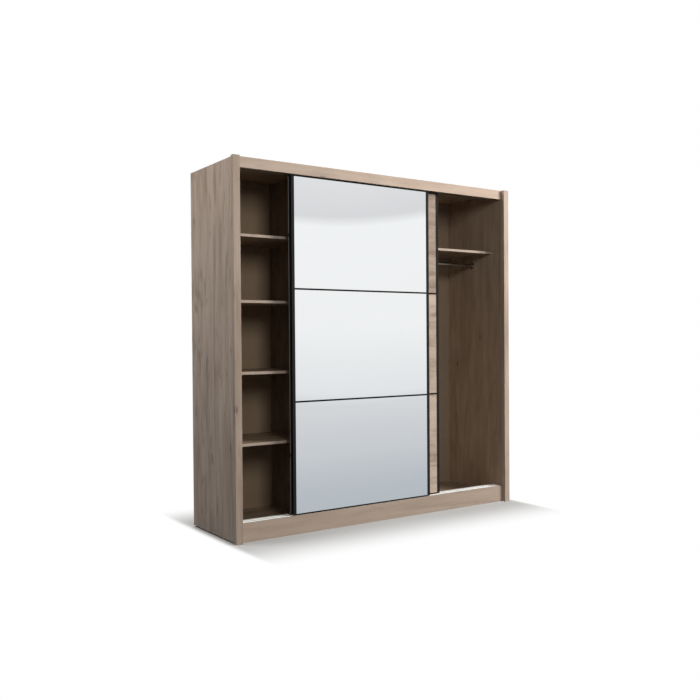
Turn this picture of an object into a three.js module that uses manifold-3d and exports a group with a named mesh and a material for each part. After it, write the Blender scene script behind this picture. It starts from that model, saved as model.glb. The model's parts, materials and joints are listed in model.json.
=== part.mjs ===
// Sliding door wardrobe: a chipboard carcass with a column of shelves and two hanging bays,
// closed by two doors that roll on a double floor track, one faced with mirrors and one with oak.
// Millimetres, +Z up. The carcass is drawn from its own corner (x from the left side, y from the
// face of the front stiles, z from the floor) and the whole group is then moved so that the
// origin lies on the floor under the middle of the wardrobe.

import * as THREE from 'three';
import { mergeVertices } from 'three/addons/utils/BufferGeometryUtils.js';
import Module from 'manifold-3d';

const wasm = await Module();
wasm.setup();

// ---------- overall ----------
const WIDTH = 2100;
const DEPTH = 580;
const HEIGHT = 2150;

// ---------- boards ----------
const BOARD = 16;             // shelves, partitions, top, floor, fascia and plinth
const SIDE_BOARD = 42;        // the two honeycomb sides and the stiles that cap them
const BACK_SHEET = 3;         // hardboard back
const GAP = 0.3;              // clearance between neighbouring pieces

// ---------- front frame ----------
const STILE_DEPTH = 28;
const FASCIA_HEIGHT = 61;
const PLINTH_HEIGHT = 106.5;
const SIDE_FOOT = 8;          // the sides stop this far above the floor
const SIDE_DROP = 8;          // and this far below the top of the stiles
const BACK_INSET = 10;        // back sheets stop short of the outer faces
const BACK_SHEET_FOOT = 30;   // lower edge of the back sheets above the floor
const BACK_SEAM = 2;          // gap between the two back sheets

// ---------- inside ----------
const SHELF_SETBACK = 97;     // from the face of the plinth to the front edges of the shelves
const FLOOR_TOP = 62;         // upper face of the floor panel
const COLUMN_WIDTH = 500;     // clear width of the shelf column
const LOWEST_SHELF = 538;     // upper face of the lowest shelf
const SHELF_PITCH = 410.5;    // from one column shelf to the next
const COLUMN_SHELVES = 3;     // shelves set at that pitch
const HAT_SHELF_DROP = 413;   // from the overall height down to the upper face of the top shelves
const SHELF_PLAY = 0.5;       // between a shelf's end and the board beside it

// ---------- hanging rails ----------
const RAIL_DIAMETER = 25;
const RAIL_WALL = 1.5;
const RAIL_DROP = 66;         // from the underside of the shelf to the middle of the rail
const RAIL_SETBACK = 325;     // from the face of the stiles to the middle of the rail
const SOCKET_FLANGE = 50;     // diameter of the plate on the board
const SOCKET_PLATE = 2.5;
const SOCKET_CUP = 12;        // how far the cup reaches over the rail
const SOCKET_WALL = 1.8;

// ---------- doors ----------
const DOOR_OVERLAP = 70;      // how far the closed doors pass each other
const DOOR_SETBACK = 43;      // from the face of the stiles to the face of the front door
const DOOR_PITCH = 34;        // from one door's face to the other's
const DOOR_FLOOR_PLAY = 0.5;  // above the ribs of the floor track
const DOOR_HEAD_PLAY = 2.5;   // below the fascia
const MIRROR_DOOR_REST = 342; // how far the front door stands from the left side
const OAK_DOOR_REST = 453;    // how far the rear door stands from the left side
const FACING = 4;             // mirrors and oak facings
const GLUE = 0.2;             // between facing, carrier and profiles
const PROFILE_WALL = 1.6;
const HANDLE_FACE = 20;       // black front flange of an upright profile
const HANDLE_LIP = 7;         // how far the rear flange passes it
const HANDLE_HOOK = 8;        // depth of the rear flange's turned edge
const HANDLE_WEB = 5;         // from the flange's inner edge to the web
const EDGE_FACE = 6;          // visible height of the head and foot profiles
const EDGE_RETURN = 7;        // how far they reach under or over the door
const STRIP_FACE = 10;        // visible height of the dividing strips
const STRIP_STEM = 1.4;
const PANES = 3;

// ---------- floor track and rollers ----------
const TRACK_PLATE = 2;
const TRACK_DROP = 1.5;       // track plate lies this far below the top of the plinth
const RIB_WIDTH = 4;
const RIB_HEIGHT = 2.5;
const TREAD_RADIUS = 13;      // where the wheel's groove rolls on the rib
const FLANGE_DEPTH = 2;       // how far the wheel's flanges stand over the tread
const WHEEL_WIDTH = 8;
const FLARE = 0.8;            // how much the wheel's groove widens towards its rim
const AXLE_RADIUS = 3;
const HOUSING_WIDTH = 64;
const HOUSING_HEIGHT = 42;
const HOUSING_CHEEK = 2.6;
const WHEEL_ROOM = 3;         // between the wheel's flanges and the walls of its slot
const HOUSING_INSET = 60;     // from the door's visible facing edge to the housing
const RUNNING_PLAY = 0.4;

// ---------- head track and guides ----------
const CHANNEL_WALL = 1.8;
const CHANNEL_LIFT = 2;       // lower edge of the head track above the lower edge of the fascia
const GUIDE_HEAD = 14;        // width of the head that slides in the channel
const GUIDE_NECK = 6;
const GUIDE_LENGTH = 30;
const GUIDE_HEAD_HEIGHT = 16;
const GUIDE_REACH = 3;        // how far the head stands inside the channel's mouth
const CHAMFER = 1;            // on the ribs and the guide heads
const GUIDE_INSET = 80;       // from the door's visible facing edge to the guide

// ---------- derived levels and planes ----------
const insideLeft = SIDE_BOARD;
const insideRight = WIDTH - SIDE_BOARD;
const sideTop = HEIGHT - SIDE_DROP;
const topUnder = sideTop - BOARD;
const fasciaUnder = HEIGHT - FASCIA_HEIGHT;
const backFace = DEPTH - BACK_SHEET;
const boardRear = backFace - GAP;
const frontBoardRear = STILE_DEPTH + BOARD;
const shelfFront = STILE_DEPTH + SHELF_SETBACK;
const hatShelfTop = HEIGHT - HAT_SHELF_DROP;
const railHeight = hatShelfTop - BOARD - RAIL_DROP;

const columnRight = insideLeft + COLUMN_WIDTH;
const hangingLeft = columnRight + BOARD;
const hangingBay = (insideRight - hangingLeft - BOARD) / 2;
const centreBoardLeft = hangingLeft + hangingBay;
const rightBayLeft = centreBoardLeft + BOARD;

const doorWidth = (insideRight - insideLeft + DOOR_OVERLAP) / 2;
const trackTop = PLINTH_HEIGHT - TRACK_DROP;
const ribTop = trackTop + RIB_HEIGHT;
const doorFoot = ribTop + DOOR_FLOOR_PLAY;
const doorHead = fasciaUnder - DOOR_HEAD_PLAY;
const doorHeight = doorHead - doorFoot;
const facingFront = PROFILE_WALL + GLUE;
const carrierFront = facingFront + FACING + GLUE;
const carrierRear = carrierFront + BOARD;
const doorThickness = carrierRear + GLUE + PROFILE_WALL;
const doorMiddle = carrierFront + BOARD / 2;
const visibleLeft = HANDLE_FACE + HANDLE_LIP;
const visibleRight = doorWidth - visibleLeft;
const coveredEdge = HANDLE_WEB - GAP;
const carrierFoot = PROFILE_WALL + GLUE;
const carrierHead = doorHeight - PROFILE_WALL - GLUE;

const flangeRadius = TREAD_RADIUS + FLANGE_DEPTH;
const wheelAxis = ribTop + TREAD_RADIUS + GAP - doorFoot;
const doorFaces = [DOOR_SETBACK, DOOR_SETBACK + DOOR_PITCH];

// ---------- finishes ----------
function finish(color, roughness, metalness) {
  return new THREE.MeshStandardMaterial({ color, roughness, metalness });
}

const oak = () => finish(0xb09a84, 0.55, 0);
const oakInside = () => finish(0x8c7763, 0.6, 0);
const hardboard = () => finish(0x7d6a58, 0.75, 0);
const mirror = () => finish(0xe6e9eb, 0.04, 1);
const blackProfile = () => finish(0x141414, 0.35, 0.6);
const trackMetal = () => finish(0xd9d6cc, 0.3, 0.9);
const chrome = () => finish(0x9a948c, 0.2, 1);
const nylon = () => finish(0x2b2b2b, 0.5, 0);
const whiteNylon = () => finish(0xe8e6df, 0.45, 0);

// ---------- shapes ----------
const X = new THREE.Vector3(1, 0, 0);
const Y = new THREE.Vector3(0, 1, 0);
const Z = new THREE.Vector3(0, 0, 1);

// A rectangular board between two corners.
function board(name, material, [x0, y0, z0], [x1, y1, z1]) {
  const mesh = new THREE.Mesh(new THREE.BoxGeometry(x1 - x0, y1 - y0, z1 - z0), material);
  mesh.name = name;
  mesh.position.set((x0 + x1) / 2, (y0 + y1) / 2, (z0 + z1) / 2);
  return mesh;
}

function extrude(outline, length) {
  const shape = outline instanceof THREE.Shape
    ? outline
    : new THREE.Shape(outline.map(([u, v]) => new THREE.Vector2(u, v)));
  return new THREE.ExtrudeGeometry(shape, { depth: length, bevelEnabled: false, curveSegments: 8 });
}

// An outline of (x, y) points drawn out upwards from z = 0.
function upright(outline, length) {
  return extrude(outline, length);
}

// An outline of (y, z) points drawn out to the right from x = 0.
function lengthwise(outline, length) {
  return extrude(outline, length).applyMatrix4(new THREE.Matrix4().makeBasis(Y, Z, X));
}

// An outline of (x, z) points drawn out to the rear from y = 0.
function crosswise(outline, depth) {
  const geometry = extrude(outline, depth);
  geometry.applyMatrix4(new THREE.Matrix4().makeBasis(X, Z, Y.clone().negate()));
  return geometry.translate(0, depth, 0);
}

function piece(name, material, geometry, x = 0, y = 0, z = 0) {
  const mesh = new THREE.Mesh(geometry, material);
  mesh.name = name;
  mesh.position.set(x, y, z);
  return mesh;
}

function rectangle(u0, v0, u1, v1) {
  return [[u0, v0], [u1, v0], [u1, v1], [u0, v1]];
}

// ---------- joining and cutting ----------
function toSolid(geometry) {
  const bare = geometry.clone();
  bare.deleteAttribute('normal');
  bare.deleteAttribute('uv');
  const merged = mergeVertices(bare, 1e-4);
  return new wasm.Manifold(new wasm.Mesh({
    numProp: 3,
    vertProperties: new Float32Array(merged.attributes.position.array),
    triVerts: new Uint32Array(merged.index.array),
  }));
}

function toGeometry(solid) {
  const { vertProperties, triVerts } = solid.getMesh();
  const geometry = new THREE.BufferGeometry();
  geometry.setAttribute('position', new THREE.BufferAttribute(vertProperties, 3));
  geometry.setIndex(new THREE.BufferAttribute(triVerts, 1));
  return geometry;
}

function subtract(body, ...tools) {
  let solid = toSolid(body);
  for (const tool of tools) solid = solid.subtract(toSolid(tool));
  return toGeometry(solid);
}

// ---------- carcass ----------
function shell() {
  const side = (name, x) => board(name, oak(), [x, STILE_DEPTH + GAP, SIDE_FOOT],
    [x + SIDE_BOARD, boardRear, sideTop]);
  const between = (name, material, y0, y1, z0, z1) =>
    board(name, material, [insideLeft + GAP, y0, z0], [insideRight - GAP, y1, z1]);
  const behind = frontBoardRear + GAP;
  return [
    side('left_side_panel', 0),
    side('right_side_panel', insideRight),
    between('top_panel', oakInside(), behind, boardRear, topUnder, sideTop),
    between('floor_panel', oakInside(), behind, boardRear, FLOOR_TOP - BOARD, FLOOR_TOP),
    between('rear_base_rail', oakInside(), boardRear - BOARD, boardRear, 0, FLOOR_TOP - BOARD - GAP),
    between('top_fascia', oak(), STILE_DEPTH, frontBoardRear, fasciaUnder, HEIGHT),
    between('plinth', oak(), STILE_DEPTH, frontBoardRear, 0, PLINTH_HEIGHT),
    between('track_beam', oakInside(), behind, shelfFront, FLOOR_TOP + GAP,
      trackTop - TRACK_PLATE - GAP),
  ];
}

function stiles() {
  const stile = (name, x) => board(name, oak(), [x, 0, 0], [x + SIDE_BOARD, STILE_DEPTH, HEIGHT]);
  return [stile('left_front_stile', 0), stile('right_front_stile', insideRight)];
}

function backSheets() {
  const seam = centreBoardLeft + BOARD / 2;
  const sheet = (name, x0, x1) => board(name, hardboard(), [x0, backFace, BACK_SHEET_FOOT],
    [x1, DEPTH, sideTop - BACK_INSET / 2]);
  return [
    sheet('left_back_sheet', BACK_INSET, seam - BACK_SEAM / 2),
    sheet('right_back_sheet', seam + BACK_SEAM / 2, WIDTH - BACK_INSET),
  ];
}

function partitions() {
  const partition = (name, x) => board(name, oakInside(), [x, shelfFront + GAP, FLOOR_TOP + GAP],
    [x + BOARD, boardRear, topUnder - GAP]);
  return [partition('column_partition', columnRight),
    partition('centre_partition', centreBoardLeft)];
}

function shelf(name, left, right, top) {
  return board(name, oakInside(), [left + SHELF_PLAY, shelfFront + GAP, top - BOARD],
    [right - SHELF_PLAY, boardRear - GAP, top]);
}

function shelves() {
  const column = Array.from({ length: COLUMN_SHELVES }, (_, i) =>
    shelf(`column_shelf_${i + 1}`, insideLeft, columnRight, LOWEST_SHELF + i * SHELF_PITCH));
  return [
    ...column,
    shelf(`column_shelf_${COLUMN_SHELVES + 1}`, insideLeft, columnRight, hatShelfTop),
    shelf('centre_hat_shelf', hangingLeft, centreBoardLeft, hatShelfTop),
    shelf('right_hat_shelf', rightBayLeft, insideRight, hatShelfTop),
  ];
}

// ---------- hanging rails ----------
// Lathe profiles turn about the local y axis, which is then laid along x.
function alongX(geometry) {
  return geometry.applyMatrix4(new THREE.Matrix4().makeBasis(Y, X, Z.clone().negate()));
}

function turned(points, segments) {
  const outline = points.map(([r, h]) => new THREE.Vector2(r, h));
  outline.push(outline[0].clone());
  return new THREE.LatheGeometry(outline, segments);
}

function railTube(length) {
  const outer = RAIL_DIAMETER / 2;
  const inner = outer - RAIL_WALL;
  return alongX(turned([[inner, 0], [outer, 0], [outer, length], [inner, length]], 32));
}

// The plate lies on the board at x = 0 and the cup reaches towards +x.
function railSocket() {
  const bore = RAIL_DIAMETER / 2 + GAP;
  const cup = bore + SOCKET_WALL;
  const reach = SOCKET_PLATE + SOCKET_CUP;
  return alongX(turned([[0, 0], [SOCKET_FLANGE / 2, 0], [SOCKET_FLANGE / 2, SOCKET_PLATE],
    [cup, SOCKET_PLATE], [cup, reach], [bore, reach], [bore, SOCKET_PLATE], [0, SOCKET_PLATE]], 32));
}

function hangingRail(name, left, right) {
  const seat = GAP + SOCKET_PLATE + GAP;
  const tube = piece(`${name}_rail`, chrome(), railTube(right - left - 2 * seat),
    left + seat, RAIL_SETBACK, railHeight);
  const leftSocket = piece(`${name}_rail_socket_left`, chrome(), railSocket(),
    left + GAP, RAIL_SETBACK, railHeight);
  const rightSocket = piece(`${name}_rail_socket_right`, chrome(), railSocket(),
    right - GAP, RAIL_SETBACK, railHeight);
  rightSocket.rotation.z = Math.PI;
  return [tube, leftSocket, rightSocket];
}

// ---------- tracks ----------
// Flat plate with one rib under the middle of each door.
function floorTrack() {
  const crown = TRACK_PLATE + RIB_HEIGHT;
  const outline = [[0, 0], [shelfFront - frontBoardRear - GAP, 0],
    [shelfFront - frontBoardRear - GAP, TRACK_PLATE]];
  for (const face of [...doorFaces].reverse()) {
    const middle = face + doorMiddle - frontBoardRear - GAP;
    const half = RIB_WIDTH / 2;
    outline.push([middle + half, TRACK_PLATE], [middle + half, crown - CHAMFER],
      [middle + half - CHAMFER, crown], [middle - half + CHAMFER, crown],
      [middle - half, crown - CHAMFER], [middle - half, TRACK_PLATE]);
  }
  outline.push([0, TRACK_PLATE]);
  const length = insideRight - insideLeft - 2 * GAP;
  return piece('floor_track', trackMetal(), lengthwise(outline, length),
    insideLeft + GAP, frontBoardRear + GAP, trackTop - TRACK_PLATE);
}

// A channel open downwards over each door, the two joined by a boxed middle.
function headTrack() {
  const half = GUIDE_HEAD / 2 + GAP;
  const foot = fasciaUnder + CHANNEL_LIFT;
  const head = topUnder - GAP;
  const [front, rear] = doorFaces.map((face) => face + doorMiddle);
  const roof = head - CHANNEL_WALL;
  const channel = (middle) => [[middle - half, foot], [middle - half, roof],
    [middle + half, roof], [middle + half, foot]];
  const outline = [[front - half - CHANNEL_WALL, head], [front - half - CHANNEL_WALL, foot],
    ...channel(front), ...channel(rear),
    [rear + half + CHANNEL_WALL, foot], [rear + half + CHANNEL_WALL, head]];
  const shape = new THREE.Shape(outline.map(([u, v]) => new THREE.Vector2(u, v)));
  const tunnel = rectangle(front + half + CHANNEL_WALL, foot + CHANNEL_WALL,
    rear - half - CHANNEL_WALL, roof);
  shape.holes.push(new THREE.Path(tunnel.map(([u, v]) => new THREE.Vector2(u, v))));
  const length = insideRight - insideLeft - 2 * GAP;
  return piece('head_track', trackMetal(), lengthwise(shape, length), insideLeft + GAP, 0, 0);
}

// ---------- door pieces, drawn from the door's lower left front corner ----------
// Section of the left upright: front flange, web, rear flange and its hooked edge.
function handleOutline() {
  const lip = HANDLE_LIP;
  const inner = visibleLeft;
  const rear = doorThickness;
  const wall = PROFILE_WALL;
  const web = inner - HANDLE_WEB;
  return [[lip, 0], [inner, 0], [inner, wall], [web, wall], [web, rear - wall], [inner, rear - wall],
    [inner, rear], [0, rear], [0, rear - HANDLE_HOOK], [wall, rear - HANDLE_HOOK],
    [wall, rear - wall], [web - wall, rear - wall], [web - wall, wall], [lip, wall]];
}

function handles(prefix) {
  const left = handleOutline();
  const right = left.map(([u, v]) => [doorWidth - u, v]).reverse();
  return [
    piece(`${prefix}_left_handle_profile`, blackProfile(), upright(left, doorHeight)),
    piece(`${prefix}_right_handle_profile`, blackProfile(), upright(right, doorHeight)),
  ];
}

// Angle profiles that close the foot and the head of the door.
function edgeProfiles(prefix) {
  const wall = PROFILE_WALL;
  const foot = [[0, 0], [EDGE_RETURN, 0], [EDGE_RETURN, wall], [wall, wall], [wall, EDGE_FACE],
    [0, EDGE_FACE]];
  const head = foot.map(([u, v]) => [u, doorHeight - v]).reverse();
  const length = visibleRight - visibleLeft - 2 * GAP;
  return [
    piece(`${prefix}_foot_profile`, blackProfile(), lengthwise(foot, length), visibleLeft + GAP),
    piece(`${prefix}_head_profile`, blackProfile(), lengthwise(head, length), visibleLeft + GAP),
  ];
}

const paneHeight = (doorHeight - 2 * EDGE_FACE - (PANES - 1) * STRIP_FACE) / PANES;
const stripMiddle = (i) => EDGE_FACE + (i + 1) * (paneHeight + STRIP_FACE) - STRIP_FACE / 2;

// T profiles whose stems stand between the panes.
function dividingStrips(prefix) {
  const length = visibleRight - visibleLeft - 2 * GAP;
  const half = STRIP_FACE / 2;
  const stem = STRIP_STEM / 2;
  const depth = facingFront + FACING;
  return Array.from({ length: PANES - 1 }, (_, i) => {
    const z = stripMiddle(i);
    const outline = [[0, z - half], [PROFILE_WALL, z - half], [PROFILE_WALL, z - stem],
      [depth, z - stem], [depth, z + stem], [PROFILE_WALL, z + stem], [PROFILE_WALL, z + half],
      [0, z + half]];
    return piece(`${prefix}_dividing_strip_${i + 1}`, blackProfile(), lengthwise(outline, length),
      visibleLeft + GAP);
  });
}

function panes(prefix, noun, material) {
  const stem = STRIP_STEM / 2 + GAP;
  return Array.from({ length: PANES }, (_, i) => {
    const low = i === 0 ? carrierFoot : stripMiddle(i - 1) + stem;
    const high = i === PANES - 1 ? carrierHead : stripMiddle(i) - stem;
    return board(`${prefix}_${noun}_${i + 1}`, material(),
      [visibleLeft - coveredEdge, facingFront, low],
      [visibleRight + coveredEdge, facingFront + FACING, high]);
  });
}

// The carrier is notched from below for the two roller housings.
function carrier(prefix) {
  const left = visibleLeft - coveredEdge;
  const right = visibleRight + coveredEdge;
  const top = carrierFoot + HOUSING_HEIGHT + GAP;
  const notches = [];
  for (const x of housingLefts()) {
    notches.push([x - GAP, carrierFoot], [x - GAP, top], [x + HOUSING_WIDTH + GAP, top],
      [x + HOUSING_WIDTH + GAP, carrierFoot]);
  }
  const outline = [[left, carrierFoot], ...notches, [right, carrierFoot], [right, carrierHead],
    [left, carrierHead]];
  return piece(`${prefix}_carrier_board`, oakInside(), crosswise(outline, BOARD), 0, carrierFront, 0);
}

function housingLefts() {
  const first = visibleLeft + HOUSING_INSET;
  return [first, visibleRight - HOUSING_INSET - HOUSING_WIDTH];
}

// A block with a slot for the wheel, open below, and a hole for its axle.
function rollerHousing() {
  const body = crosswise(rectangle(0, 0, HOUSING_WIDTH, HOUSING_HEIGHT), BOARD);
  const slotHalf = flangeRadius + WHEEL_ROOM;
  const axle = wheelAxis - carrierFoot;
  const slot = crosswise(rectangle(HOUSING_WIDTH / 2 - slotHalf, -1, HOUSING_WIDTH / 2 + slotHalf,
    axle + slotHalf), BOARD - 2 * HOUSING_CHEEK).translate(0, HOUSING_CHEEK, 0);
  const bore = new THREE.CylinderGeometry(AXLE_RADIUS + GAP, AXLE_RADIUS + GAP, BOARD + 2, 24);
  bore.translate(HOUSING_WIDTH / 2, BOARD / 2, axle);
  return subtract(body, slot, bore);
}

// Grooved wheel with its axle ends, turning about y.
function wheel() {
  const half = WHEEL_WIDTH / 2;
  const groove = RIB_WIDTH / 2 + RUNNING_PLAY;
  const axleEnd = BOARD / 2 - RUNNING_PLAY;
  const outline = [[0, -axleEnd], [AXLE_RADIUS, -axleEnd], [AXLE_RADIUS, -half],
    [flangeRadius, -half], [flangeRadius, -groove - FLARE], [TREAD_RADIUS, -groove],
    [TREAD_RADIUS, groove], [flangeRadius, groove + FLARE], [flangeRadius, half],
    [AXLE_RADIUS, half], [AXLE_RADIUS, axleEnd], [0, axleEnd]];
  return new THREE.LatheGeometry(outline.map(([r, h]) => new THREE.Vector2(r, h)), 36);
}

function rollers(prefix) {
  return housingLefts().flatMap((x, i) => {
    const end = i === 0 ? 'left' : 'right';
    return [
      piece(`${prefix}_${end}_roller_housing`, nylon(), rollerHousing(), x, carrierFront, carrierFoot),
      piece(`${prefix}_${end}_wheel`, whiteNylon(), wheel(), x + HOUSING_WIDTH / 2, doorMiddle,
        wheelAxis),
    ];
  });
}

// A neck on the carrier's upper edge with a wider head that slides in the channel.
function guides(prefix) {
  const neck = GUIDE_NECK / 2;
  const head = GUIDE_HEAD / 2;
  const foot = carrierHead + GAP;
  const shoulder = fasciaUnder + CHANNEL_LIFT + GUIDE_REACH - doorFoot;
  const top = shoulder + GUIDE_HEAD_HEIGHT;
  const outline = [[-neck, foot], [neck, foot], [neck, shoulder], [head, shoulder + CHAMFER],
    [head, top - CHAMFER], [head - CHAMFER, top], [CHAMFER - head, top], [-head, top - CHAMFER],
    [-head, shoulder + CHAMFER], [-neck, shoulder]];
  const first = visibleLeft + GUIDE_INSET;
  const last = visibleRight - GUIDE_INSET - GUIDE_LENGTH;
  return [[first, 'left'], [last, 'right']].map(([x, end]) =>
    piece(`${prefix}_${end}_head_guide`, nylon(), lengthwise(outline, GUIDE_LENGTH), x, doorMiddle, 0));
}

function door(prefix, noun, material, x, face) {
  const group = new THREE.Group();
  group.position.set(x, face, doorFoot);
  group.add(carrier(prefix), ...panes(prefix, noun, material), ...handles(prefix));
  group.add(...edgeProfiles(prefix), ...dividingStrips(prefix));
  group.add(...rollers(prefix), ...guides(prefix));
  return group;
}

// ---------- the wardrobe ----------
const carcass = new THREE.Group();
carcass.add(...shell(), ...stiles(), ...backSheets(), ...partitions(), ...shelves());
carcass.add(...hangingRail('centre', hangingLeft, centreBoardLeft));
carcass.add(...hangingRail('right', rightBayLeft, insideRight));
carcass.add(floorTrack(), headTrack());
carcass.add(door('mirror_door', 'mirror', mirror, insideLeft + MIRROR_DOOR_REST, doorFaces[0]));
carcass.add(door('oak_door', 'facing', oak, insideLeft + OAK_DOOR_REST, doorFaces[1]));

const wardrobe = new THREE.Group();
carcass.position.set(-WIDTH / 2, -DEPTH / 2, 0);
wardrobe.add(carcass);

export default wardrobe;
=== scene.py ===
"""Looks of a sliding door wardrobe: an oak-decor carcass with a mirrored and an oak door.

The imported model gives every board, profile, track and wheel its place. This file rounds the
sharp edges of those pieces, adds the small fittings that a joiner would find on the real
wardrobe, gives everything its finish and sets up the studio, its lamps and the camera.
"""

import json
import logging
import math
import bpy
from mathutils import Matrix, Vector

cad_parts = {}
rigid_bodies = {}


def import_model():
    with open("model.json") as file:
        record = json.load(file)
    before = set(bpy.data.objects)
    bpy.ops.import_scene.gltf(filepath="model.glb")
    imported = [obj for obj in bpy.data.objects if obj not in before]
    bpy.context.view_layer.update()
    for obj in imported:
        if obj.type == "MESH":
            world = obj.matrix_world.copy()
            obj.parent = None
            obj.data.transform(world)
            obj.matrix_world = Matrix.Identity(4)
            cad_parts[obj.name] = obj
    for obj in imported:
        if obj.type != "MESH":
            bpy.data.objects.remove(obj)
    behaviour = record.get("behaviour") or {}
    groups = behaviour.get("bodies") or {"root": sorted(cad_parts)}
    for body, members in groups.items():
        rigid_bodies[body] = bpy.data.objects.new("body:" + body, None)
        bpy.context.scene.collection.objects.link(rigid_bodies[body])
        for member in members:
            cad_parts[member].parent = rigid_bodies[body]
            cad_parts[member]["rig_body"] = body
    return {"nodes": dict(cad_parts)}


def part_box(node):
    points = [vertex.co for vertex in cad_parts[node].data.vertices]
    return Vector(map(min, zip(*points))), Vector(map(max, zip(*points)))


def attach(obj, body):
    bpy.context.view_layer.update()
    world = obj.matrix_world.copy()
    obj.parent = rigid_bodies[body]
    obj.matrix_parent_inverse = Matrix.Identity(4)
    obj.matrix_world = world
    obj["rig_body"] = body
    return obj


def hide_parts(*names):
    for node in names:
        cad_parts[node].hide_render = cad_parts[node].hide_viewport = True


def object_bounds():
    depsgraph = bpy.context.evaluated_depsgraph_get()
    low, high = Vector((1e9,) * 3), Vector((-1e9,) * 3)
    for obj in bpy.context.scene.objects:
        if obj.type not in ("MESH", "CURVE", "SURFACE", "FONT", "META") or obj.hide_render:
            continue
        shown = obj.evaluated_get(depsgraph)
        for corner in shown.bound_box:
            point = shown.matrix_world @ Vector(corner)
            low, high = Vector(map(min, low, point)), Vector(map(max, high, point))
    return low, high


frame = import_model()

import zlib
from dataclasses import dataclass, field, replace
from enum import Enum

import bpy
from mathutils import Matrix, Vector

CAD_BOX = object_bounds()
MM = 0.001
LEFT, RIGHT = Vector((-1, 0, 0)), Vector((1, 0, 0))
FRONT = Vector((0, -1, 0))
DOWN, UP = Vector((0, 0, -1)), Vector((0, 0, 1))

log = logging.getLogger("wardrobe")

Colour = tuple[float, float, float]
Triple = tuple[float, float, float]
Socket = bpy.types.NodeSocket
Value = Socket | Colour | float
Piece = bpy.types.Object
Material = bpy.types.Material


class Grain(Enum):
    """The axis that a board's grain or a metal's lines run along, by its number."""

    CROSSWISE = 0
    UPRIGHT = 2

    def stretched(self, across: float, along: float) -> Triple:
        """A scale with one frequency along the grain and another across it."""
        return tuple(along if i == self.value else across for i in range(3))


class Side(Enum):
    """The left or the right end of a piece, seen from the front."""

    LEFT = -1
    RIGHT = 1

    @property
    def word(self) -> str:
        """The side's name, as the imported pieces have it."""
        return self.name.lower()

    @property
    def inward(self) -> Vector:
        """The way from this side to the middle."""
        return Vector((-self.value, 0, 0))

    def end(self, node: str) -> float:
        """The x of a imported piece's outer face on this side."""
        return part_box(node)[0 if self is Side.LEFT else 1].x


# -------- finishes


@dataclass
class NodeSheet:
    """A node tree, with short calls for the nodes that finishes and studio share."""

    tree: bpy.types.NodeTree

    def __post_init__(self) -> None:
        """Empties the tree."""
        self.tree.nodes.clear()

    def feed(self, socket: Socket, value: Value) -> None:
        """Links an output to an input, or sets the input's own number or colour.

        Args:
            socket: The input.
            value: What it takes.
        """
        if isinstance(value, Socket):
            self.tree.links.new(value, socket)
        else:
            socket.default_value = (*value, 1.0) if socket.type == "RGBA" else value

    def node(self, kind: str, inputs: dict[str | int, Value] | None = None,
             **options: str) -> bpy.types.Node:
        """Adds a node and feeds its inputs.

        Args:
            kind: Its type, without the part that all types share.
            inputs: What each named or numbered input takes.
            options: Its own settings.

        Returns:
            The node.
        """
        node = self.tree.nodes.new(f"ShaderNode{kind}")
        for option, choice in options.items():
            setattr(node, option, choice)
        for key, value in (inputs or {}).items():
            self.feed(node.inputs[key], value)
        return node

    def place(self, scale: Triple, offset: Triple = (0.0, 0.0, 0.0)) -> Socket:
        """Object coordinates, scaled and then shifted."""
        inputs = {"Vector": self.node("TexCoord").outputs["Object"], "Scale": scale}
        return self.node("Mapping", inputs | {"Location": offset}).outputs["Vector"]

    def axes(self, offset: Triple = (0.0, 0.0, 0.0)) -> list[Socket]:
        """Object coordinates, shifted, as three numbers."""
        return list(self.node("SeparateXYZ", {0: self.place((1.0, 1.0, 1.0), offset)}).outputs)

    def noise(self, scale: Triple, offset: Triple = (0.0, 0.0, 0.0), detail: float = 4.0,
              rough: float = 0.5, stir: float = 0.0) -> Socket:
        """A noise pattern in object coordinates.

        Args:
            scale: Its frequency along x, y and z.
            offset: Its shift along them.
            detail: Octaves.
            rough: Share of each further octave.
            stir: How far it is distorted.

        Returns:
            The pattern, 0 to 1.
        """
        inputs = {"Vector": self.place(scale, offset), "Scale": 1.0, "Detail": detail,
                  "Roughness": rough, "Distortion": stir}
        return self.node("TexNoise", inputs).outputs["Fac"]

    def ramp(self, factor: Socket, stops: list[tuple[float, Colour]]) -> Socket:
        """A colour ramp.

        Args:
            factor: What is read, 0 to 1.
            stops: Position and colour of each stop.

        Returns:
            The colour.
        """
        node = self.node("ValToRGB", {"Fac": factor})
        elements = node.color_ramp.elements
        while len(elements) < len(stops):
            elements.new(0.5)
        for element, (position, colour) in zip(elements, stops):
            element.position = position
            element.color = (*colour, 1.0)
        return node.outputs["Color"]

    def span(self, value: Socket, low: float, high: float, to_low: float = 0.0,
             to_high: float = 1.0) -> Socket:
        """Maps one range of numbers onto another and clamps the result."""
        inputs = {"Value": value, "From Min": low, "From Max": high, "To Min": to_low}
        return self.node("MapRange", inputs | {"To Max": to_high}).outputs["Result"]

    def math(self, operation: str, first: Value, *others: Value) -> Socket:
        """Joins numbers by one operation, from left to right.

        Args:
            operation: What Blender calls it.
            first: The first number, or the only one for an operation such as SINE.
            others: The further numbers.

        Returns:
            The result.
        """
        for other in others or (0.0,):
            first = self.node("Math", {0: first, 1: other}, operation=operation).outputs["Value"]
        return first

    def times(self, *factors: Value) -> Socket:
        """The product of several numbers."""
        return self.math("MULTIPLY", *factors)

    def mix(self, factor: Value, first: Value, second: Value) -> Socket:
        """Mixes two colours; the factor is the second's share."""
        return self.node("Mix", {0: factor, 6: first, 7: second}, data_type="RGBA").outputs[2]

    def blend(self, factor: Value, first: bpy.types.Node,
              second: bpy.types.Node) -> bpy.types.Node:
        """Mixes two shaders; the factor is the second's share."""
        return self.node("MixShader", {0: factor, 1: first.outputs[0], 2: second.outputs[0]})


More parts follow.
